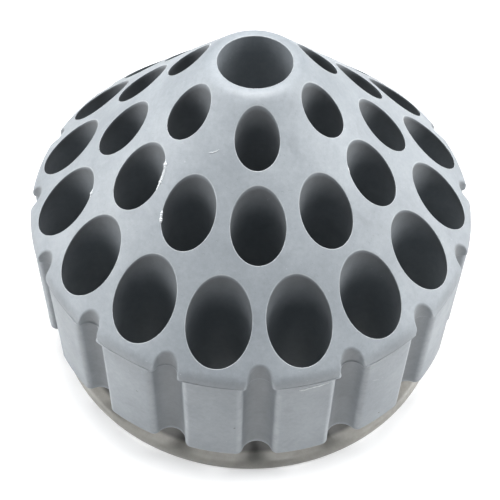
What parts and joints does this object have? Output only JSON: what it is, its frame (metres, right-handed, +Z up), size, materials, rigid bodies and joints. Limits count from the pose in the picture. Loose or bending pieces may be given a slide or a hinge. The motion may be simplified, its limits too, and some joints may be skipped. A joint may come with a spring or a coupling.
{
  "type": "flower frog",
  "caption": "Domed rubber flower frog: rings of upright stem holes over a fluted skirt, standing on a suction cup that plugs into its underside.",
  "frame": {"origin": "centre of the suction cup's contact ring, on the surface that it stands on", "axes": "+Z up along the dome's axis; -Y is the front, through a flute and a hole of each of the two inner rings"},
  "size_m": [0.0998, 0.0998, 0.081],
  "materials": {
    "holder_rubber": "matte pale blue-grey moulded rubber",
    "cup_rubber": "satin warm grey moulded rubber"
  },
  "bodies": {
    "cup": {"suction_cup": "cup_rubber"},
    "holder": {"stem_holder": "holder_rubber"}
  },
  "joints": [
    {"name": "cup_pull", "type": "slide", "parent": "cup", "child": "holder", "axis": [0, 0, 1], "range_m": [0, 0.019]}
  ]
}
